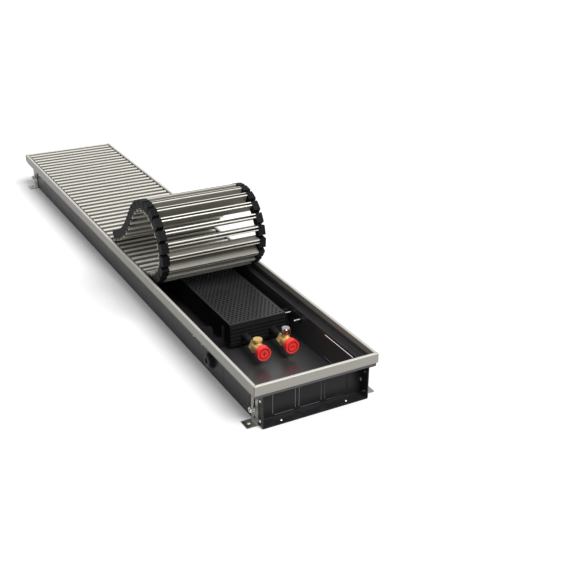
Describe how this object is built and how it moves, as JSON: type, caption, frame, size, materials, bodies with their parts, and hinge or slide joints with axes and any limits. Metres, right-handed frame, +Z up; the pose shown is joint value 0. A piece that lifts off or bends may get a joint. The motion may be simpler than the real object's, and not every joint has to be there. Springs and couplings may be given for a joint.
{
  "type": "trench convector heater",
  "caption": "Floor trench heater: black steel trough with a finned water exchanger, an aluminium edge frame and a slatted roll-up grille, partly rolled back.",
  "frame": {"origin": "centre of the underside, on the floor", "axes": "+Y along the length, away from the pipe end; +X across; +Z up"},
  "size_m": [0.272, 1.5, 0.2606],
  "materials": {
    "casing_black": "semi-gloss black powder coat",
    "frame_aluminium": "natural anodised",
    "slat_aluminium": "natural anodised",
    "spacer_rubber": "matt black",
    "cord_steel": "bright wire",
    "exchanger_black": "satin black lacquer",
    "fin_black": "satin black lacquer",
    "screw_zinc": "zinc plated",
    "fitting_brass": "turned",
    "cap_red": "moulded",
    "vent_chrome": "polished",
    "gland_rubber": "matt black",
    "foot_steel": "galvanised"
  },
  "bodies": {
    "casing": {"trough": "casing_black", "front_end_plate": "casing_black", "rear_end_plate": "casing_black", "seat_angle_left": "casing_black", "seat_angle_right": "casing_black", "seat_angle_front": "casing_black", "seat_angle_rear": "casing_black", "frame_rail_left": "frame_aluminium", "frame_rail_right": "frame_aluminium", "frame_rail_front": "frame_aluminium", "frame_rail_rear": "frame_aluminium", "exchanger_fins": "fin_black", "exchanger_pipes": "exchanger_black", "exchanger_cover": "exchanger_black", "exchanger_end_plates": "exchanger_black", "exchanger_brackets": "casing_black", "bracket_screws": "screw_zinc", "return_fitting": "fitting_brass", "flow_fitting": "fitting_brass", "vent_plug": "fitting_brass", "side_gland": "gland_rubber", "plate_rivets": "screw_zinc", "foot_bolts": "screw_zinc"},
    "grille": {"flat_slats": "slat_aluminium", "flat_spacers": "spacer_rubber", "grille_cords": "cord_steel"},
    "roll_01": {"rolled_slat_01": "slat_aluminium"},
    "roll_02": {"rolled_slat_02": "slat_aluminium"},
    "roll_03": {"rolled_slat_03": "slat_aluminium"},
    "roll_04": {"rolled_slat_04": "slat_aluminium"},
    "roll_05": {"rolled_slat_05": "slat_aluminium"},
    "roll_06": {"rolled_slat_06": "slat_aluminium"},
    "roll_07": {"rolled_slat_07": "slat_aluminium"},
    "roll_08": {"rolled_slat_08": "slat_aluminium"},
    "roll_09": {"rolled_slat_09": "slat_aluminium"},
    "roll_10": {"rolled_slat_10": "slat_aluminium"},
    "roll_11": {"rolled_slat_11": "slat_aluminium"},
    "roll_12": {"rolled_slat_12": "slat_aluminium"},
    "roll_13": {"rolled_slat_13": "slat_aluminium"},
    "roll_14": {"rolled_slat_14": "slat_aluminium"},
    "roll_15": {"rolled_slat_15": "slat_aluminium"},
    "roll_16": {"rolled_slat_16": "slat_aluminium"},
    "roll_17": {"rolled_slat_17": "slat_aluminium"},
    "roll_18": {"rolled_slat_18": "slat_aluminium"},
    "roll_19": {"rolled_slat_19": "slat_aluminium"},
    "roll_20": {"rolled_slat_20": "slat_aluminium"},
    "roll_21": {"rolled_slat_21": "slat_aluminium"},
    "roll_22": {"rolled_slat_22": "slat_aluminium"},
    "roll_23": {"rolled_slat_23": "slat_aluminium"},
    "return_cap": {"return_cap": "cap_red"},
    "flow_cap": {"flow_cap": "cap_red"},
    "vent_knob": {"vent_knob": "vent_chrome"},
    "foot_front_left": {"foot_front_left": "foot_steel"},
    "foot_front_right": {"foot_front_right": "foot_steel"},
    "foot_rear_left": {"foot_rear_left": "foot_steel"},
    "foot_rear_right": {"foot_rear_right": "foot_steel"}
  },
  "joints": [
    {"name": "grille_lift", "type": "slide", "parent": "casing", "child": "grille", "axis": [0, 0, 1], "range_m": [0, 0.04]},
    {"name": "unroll_01", "type": "hinge", "parent": "grille", "child": "roll_01", "pos_m": [0, -0.175, 0.0843], "axis": [1, 0, 0], "range_deg": [0, 4]},
    {"name": "unroll_02", "type": "hinge", "parent": "roll_01", "child": "roll_02", "pos_m": [0, -0.19919, 0.08599], "axis": [1, 0, 0], "range_deg": [0, 6]},
    {"name": "unroll_03", "type": "hinge", "parent": "roll_02", "child": "roll_03", "pos_m": [0, -0.22307, 0.0902], "axis": [1, 0, 0], "range_deg": [0, 8]},
    {"name": "unroll_04", "type": "hinge", "parent": "roll_03", "child": "roll_04", "pos_m": [0, -0.24614, 0.0977], "axis": [1, 0, 0], "range_deg": [0, 10.01]},
    {"name": "unroll_05", "type": "hinge", "parent": "roll_04", "child": "roll_05", "pos_m": [0, -0.26755, 0.10908], "axis": [1, 0, 0], "range_deg": [0, 14]},
    {"name": "unroll_06", "type": "hinge", "parent": "roll_05", "child": "roll_06", "pos_m": [0, -0.28557, 0.12531], "axis": [1, 0, 0], "range_deg": [0, 14.01]},
    {"name": "unroll_07", "type": "hinge", "parent": "roll_06", "child": "roll_07", "pos_m": [0, -0.29913, 0.14541], "axis": [1, 0, 0], "range_deg": [0, 30.12]},
    {"name": "unroll_08", "type": "hinge", "parent": "roll_07", "child": "roll_08", "pos_m": [0, -0.30077, 0.16961], "axis": [1, 0, 0], "range_deg": [0, 19.13]},
    {"name": "unroll_09", "type": "hinge", "parent": "roll_08", "child": "roll_09", "pos_m": [0, -0.2944, 0.193], "axis": [1, 0, 0], "range_deg": [0, 15.13]},
    {"name": "unroll_10", "type": "hinge", "parent": "roll_09", "child": "roll_10", "pos_m": [0, -0.28214, 0.21393], "axis": [1, 0, 0], "range_deg": [0, 17.13]},
    {"name": "unroll_11", "type": "hinge", "parent": "roll_10", "child": "roll_11", "pos_m": [0, -0.26427, 0.23032], "axis": [1, 0, 0], "range_deg": [0, 16.01]},
    {"name": "unroll_12", "type": "hinge", "parent": "roll_11", "child": "roll_12", "pos_m": [0, -0.24257, 0.24115], "axis": [1, 0, 0], "range_deg": [0, 18]},
    {"name": "unroll_13", "type": "hinge", "parent": "roll_12", "child": "roll_13", "pos_m": [0, -0.21859, 0.24475], "axis": [1, 0, 0], "range_deg": [0, 14.89]},
    {"name": "unroll_14", "type": "hinge", "parent": "roll_13", "child": "roll_14", "pos_m": [0, -0.19449, 0.24206], "axis": [1, 0, 0], "range_deg": [0, 16.89]},
    {"name": "unroll_15", "type": "hinge", "parent": "roll_14", "child": "roll_15", "pos_m": [0, -0.17221, 0.23249], "axis": [1, 0, 0], "range_deg": [0, 12.89]},
    {"name": "unroll_16", "type": "hinge", "parent": "roll_15", "child": "roll_16", "pos_m": [0, -0.15262, 0.2182], "axis": [1, 0, 0], "range_deg": [0, 9.89]},
    {"name": "unroll_17", "type": "hinge", "parent": "roll_16", "child": "roll_17", "pos_m": [0, -0.13577, 0.20076], "axis": [1, 0, 0], "range_deg": [0, 6.01]},
    {"name": "unroll_18", "type": "hinge", "parent": "roll_17", "child": "roll_18", "pos_m": [0, -0.12084, 0.18165], "axis": [1, 0, 0], "range_deg": [-2.01, 0]},
    {"name": "unroll_19", "type": "hinge", "parent": "roll_18", "child": "roll_19", "pos_m": [0, -0.10526, 0.16307], "axis": [1, 0, 0], "range_deg": [-6.01, 0]},
    {"name": "unroll_20", "type": "hinge", "parent": "roll_19", "child": "roll_20", "pos_m": [0, -0.08781, 0.14623], "axis": [1, 0, 0], "range_deg": [-8.01, 0]},
    {"name": "unroll_21", "type": "hinge", "parent": "roll_20", "child": "roll_21", "pos_m": [0, -0.06819, 0.13197], "axis": [1, 0, 0], "range_deg": [-7.01, 0]},
    {"name": "unroll_22", "type": "hinge", "parent": "roll_21", "child": "roll_22", "pos_m": [0, -0.04698, 0.12021], "axis": [1, 0, 0], "range_deg": [-5.01, 0]},
    {"name": "unroll_23", "type": "hinge", "parent": "roll_22", "child": "roll_23", "pos_m": [0, -0.02483, 0.11035], "axis": [1, 0, 0], "range_deg": [-4.01, 0]},
    {"name": "return_cap_pull", "type": "slide", "parent": "casing", "child": "return_cap", "axis": [0, -1, 0], "range_m": [0, 0.025]},
    {"name": "flow_cap_pull", "type": "slide", "parent": "casing", "child": "flow_cap", "axis": [0, -1, 0], "range_m": [0, 0.025]},
    {"name": "vent_turn", "type": "hinge", "parent": "casing", "child": "vent_knob", "pos_m": [0.057, -0.5233, 0.057], "axis": [0, 0, 1], "range_deg": [0, 360]},
    {"name": "foot_front_left_level", "type": "slide", "parent": "casing", "child": "foot_front_left", "axis": [0, 0, -1], "range_m": [0, 0.02]},
    {"name": "foot_front_right_level", "type": "slide", "parent": "casing", "child": "foot_front_right", "axis": [0, 0, -1], "range_m": [0, 0.02]},
    {"name": "foot_rear_left_level", "type": "slide", "parent": "casing", "child": "foot_rear_left", "axis": [0, 0, -1], "range_m": [0, 0.02]},
    {"name": "foot_rear_right_level", "type": "slide", "parent": "casing", "child": "foot_rear_right", "axis": [0, 0, -1], "range_m": [0, 0.02]}
  ],
  "couplings": [
    {"joint": "unroll_04", "follows": "unroll_03", "ratio": 1.25},
    {"joint": "unroll_06", "follows": "unroll_05", "ratio": 1},
    {"joint": "unroll_08", "follows": "unroll_07", "ratio": 0.63477},
    {"joint": "unroll_09", "follows": "unroll_07", "ratio": 0.50196},
    {"joint": "unroll_10", "follows": "unroll_07", "ratio": 0.56837},
    {"joint": "unroll_11", "follows": "unroll_07", "ratio": 0.53124},
    {"joint": "unroll_13", "follows": "unroll_12", "ratio": 0.82676},
    {"joint": "unroll_14", "follows": "unroll_12", "ratio": 0.93787},
    {"joint": "unroll_15", "follows": "unroll_12", "ratio": 0.71565},
    {"joint": "unroll_16", "follows": "unroll_12", "ratio": 0.54898},
    {"joint": "unroll_17", "follows": "unroll_12", "ratio": 0.33333},
    {"joint": "unroll_18", "follows": "unroll_12", "ratio": -0.11111},
    {"joint": "unroll_19", "follows": "unroll_12", "ratio": -0.33333},
    {"joint": "unroll_20", "follows": "unroll_12", "ratio": -0.44444},
    {"joint": "unroll_21", "follows": "unroll_12", "ratio": -0.38889},
    {"joint": "unroll_22", "follows": "unroll_12", "ratio": -0.27778},
    {"joint": "unroll_23", "follows": "unroll_12", "ratio": -0.22222}
  ]
}
